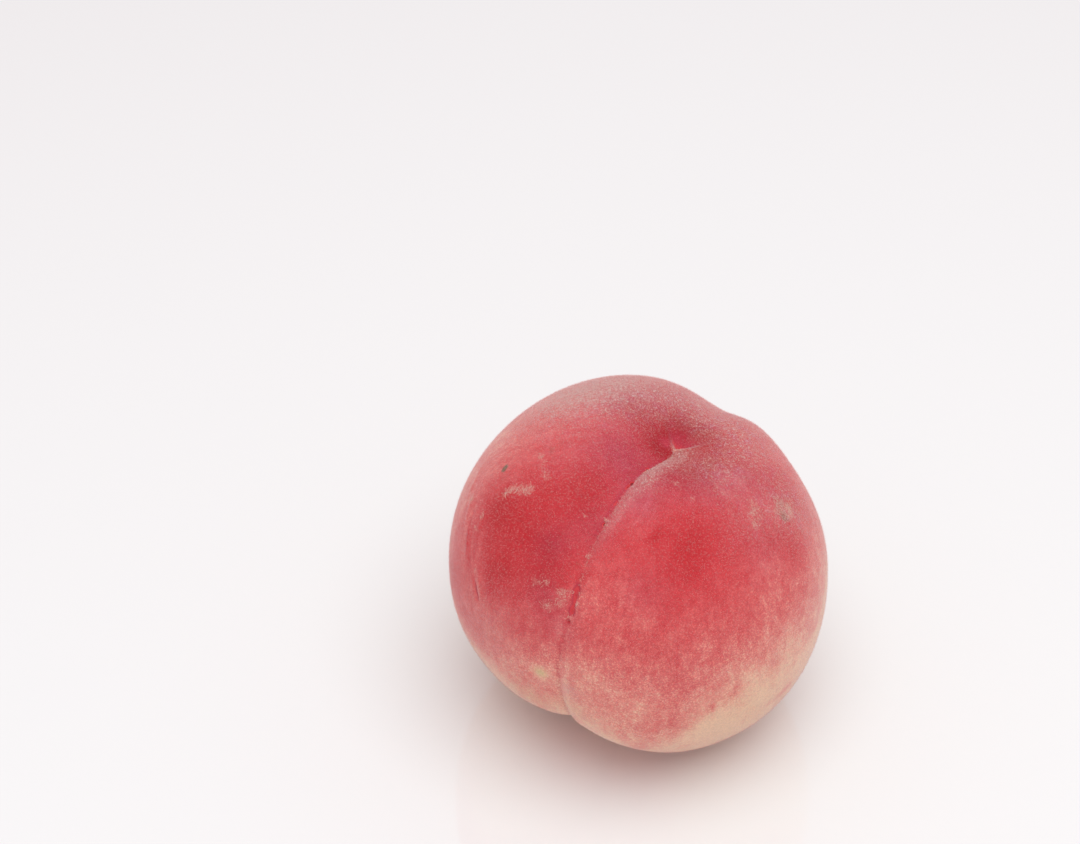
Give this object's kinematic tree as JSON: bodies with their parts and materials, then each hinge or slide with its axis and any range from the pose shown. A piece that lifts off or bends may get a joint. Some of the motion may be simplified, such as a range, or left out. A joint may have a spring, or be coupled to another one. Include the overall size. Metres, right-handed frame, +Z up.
{
  "type": "peach",
  "caption": "Whole ripe peach standing on its stem end, with a deep suture, a dimpled blossom tip and a hidden stem cavity.",
  "frame": {"origin": "middle of the bounding box's base, in the plane of the flat spot that the fruit rests on", "axes": "+Z up, from the stem end to the blossom end; the suture faces 239 degrees round from +X toward +Y, and the picture looks along +Y"},
  "size_m": [0.0872, 0.0872, 0.0794],
  "materials": {
    "skin": "downy"
  },
  "bodies": {
    "root": {"peach": "skin"}
  },
  "joints": []
}
